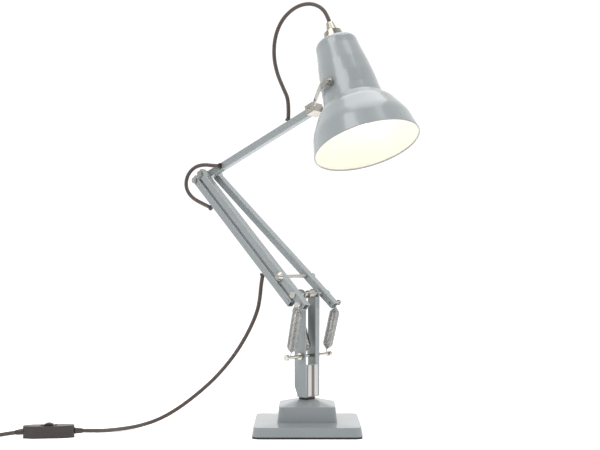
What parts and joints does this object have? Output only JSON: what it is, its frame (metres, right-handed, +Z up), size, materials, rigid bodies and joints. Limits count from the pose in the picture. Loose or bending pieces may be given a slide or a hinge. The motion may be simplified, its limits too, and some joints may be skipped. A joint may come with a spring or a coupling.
{
  "type": "desk lamp",
  "caption": "Spring-balanced architect desk lamp with a stepped square base, parallel arms, tilting bell shade and fabric cable with inline switch.",
  "frame": {"origin": "centre of the base's underside", "axes": "+Z up, base sides along X and Y; the arms' plane is turned 40 degrees clockwise from +X"},
  "size_m": [0.6216, 0.256, 0.5337],
  "materials": {
    "paint": "satin dove grey enamel",
    "rubber": "matt",
    "iron": "rough",
    "nylon": "satin",
    "chrome": "polished",
    "steel": "brushed",
    "badge": "brushed",
    "nickel": "satin nickel",
    "knob": "dark bronze",
    "holder": "matt",
    "bulb": "opal",
    "cable": "woven",
    "switch": "satin"
  },
  "bodies": {
    "base": {"base_lower_tier": "paint", "base_upper_tier": "paint", "base_pad": "rubber", "base_weight": "iron", "swivel_washer": "nylon", "base_spindle": "chrome", "mains_lead": "cable", "mains_tail": "cable", "plug_lead": "cable", "cable_coil": "cable", "switch_lower_case": "switch", "switch_upper_case": "switch", "plug_body": "switch", "plug_pins": "steel"},
    "post": {"post_channel": "paint", "badge_plate": "badge", "spring_anchor_rod": "chrome", "anchor_rod_nuts": "chrome"},
    "lower_arm": {"lower_bar_left": "paint", "lower_bar_right": "paint", "cross_bolt": "chrome", "cross_bolt_nuts": "chrome", "spring_stud_left": "chrome", "spring_stud_right": "chrome", "elbow_spindle": "chrome", "spring_left": "steel", "spring_right": "steel", "elbow_bush": "steel"},
    "upper_arm": {"upper_arm_tube": "paint", "tail_plate": "paint", "link_bush": "steel", "elbow_cable": "cable"},
    "crank": {"crank_shaft": "chrome", "crank_plate": "paint", "spring_lever": "steel", "spring_middle": "steel"},
    "link": {"link_bar": "paint"},
    "yoke": {"yoke_block": "steel", "yoke_strap_left": "steel", "yoke_strap_right": "steel", "head_cable": "cable"},
    "knob": {"clamp_knob": "knob"},
    "shade": {"shade_cone": "paint", "shade_collar": "nickel", "cable_gland": "nickel", "lamp_holder": "holder", "bulb": "bulb", "side_screws": "chrome"},
    "rocker": {"switch_rocker": "switch"}
  },
  "joints": [
    {"name": "post_swivel", "type": "hinge", "parent": "base", "child": "post", "pos_m": [0, 0, 0.043], "axis": [0, 0, 1], "range_deg": [-75, 75]},
    {"name": "lower_arm_tilt", "type": "hinge", "parent": "post", "child": "lower_arm", "pos_m": [0.00383, -0.00321, 0.169], "axis": [0.6428, 0.766, 0], "range_deg": [-12, 30], "deforming": ["spring_left", "spring_right", "mains_lead"]},
    {"name": "upper_arm_tilt", "type": "hinge", "parent": "lower_arm", "child": "upper_arm", "pos_m": [-0.12866, 0.10796, 0.32364], "axis": [0.6428, 0.766, 0], "range_deg": [-30, 25], "deforming": ["elbow_cable"]},
    {"name": "crank_turn", "type": "hinge", "parent": "lower_arm", "child": "crank", "pos_m": [0.00383, -0.00321, 0.169], "axis": [0.6428, 0.766, 0], "range_deg": [-30, 25], "deforming": ["spring_middle"]},
    {"name": "link_turn", "type": "hinge", "parent": "crank", "child": "link", "pos_m": [-0.00409, 0.00343, 0.16112], "axis": [0.6428, 0.766, 0], "range_deg": [-25, 30]},
    {"name": "head_swivel", "type": "hinge", "parent": "upper_arm", "child": "yoke", "pos_m": [0.00407, -0.00341, 0.39399], "axis": [0.7098, -0.5956, 0.3762], "range_deg": [-40, 40]},
    {"name": "knob_turn", "type": "hinge", "parent": "yoke", "child": "knob", "pos_m": [0.00904, -0.00758, 0.39662], "axis": [0.6655, 0.7421, -0.0808], "continuous": true},
    {"name": "shade_tilt", "type": "hinge", "parent": "yoke", "child": "shade", "pos_m": [0.05091, -0.04272, 0.41882], "axis": [0.6655, 0.7421, -0.0808], "range_deg": [-25, 25], "deforming": ["head_cable"]},
    {"name": "rocker_rock", "type": "hinge", "parent": "base", "child": "rocker", "pos_m": [-0.308, -0.0495, 0.0086], "axis": [-0.1288, 0.9917, 0], "range_deg": [-6, 6]}
  ],
  "couplings": [
    {"joint": "crank_turn", "follows": "upper_arm_tilt", "ratio": 1},
    {"joint": "link_turn", "follows": "upper_arm_tilt", "ratio": -1}
  ]
}
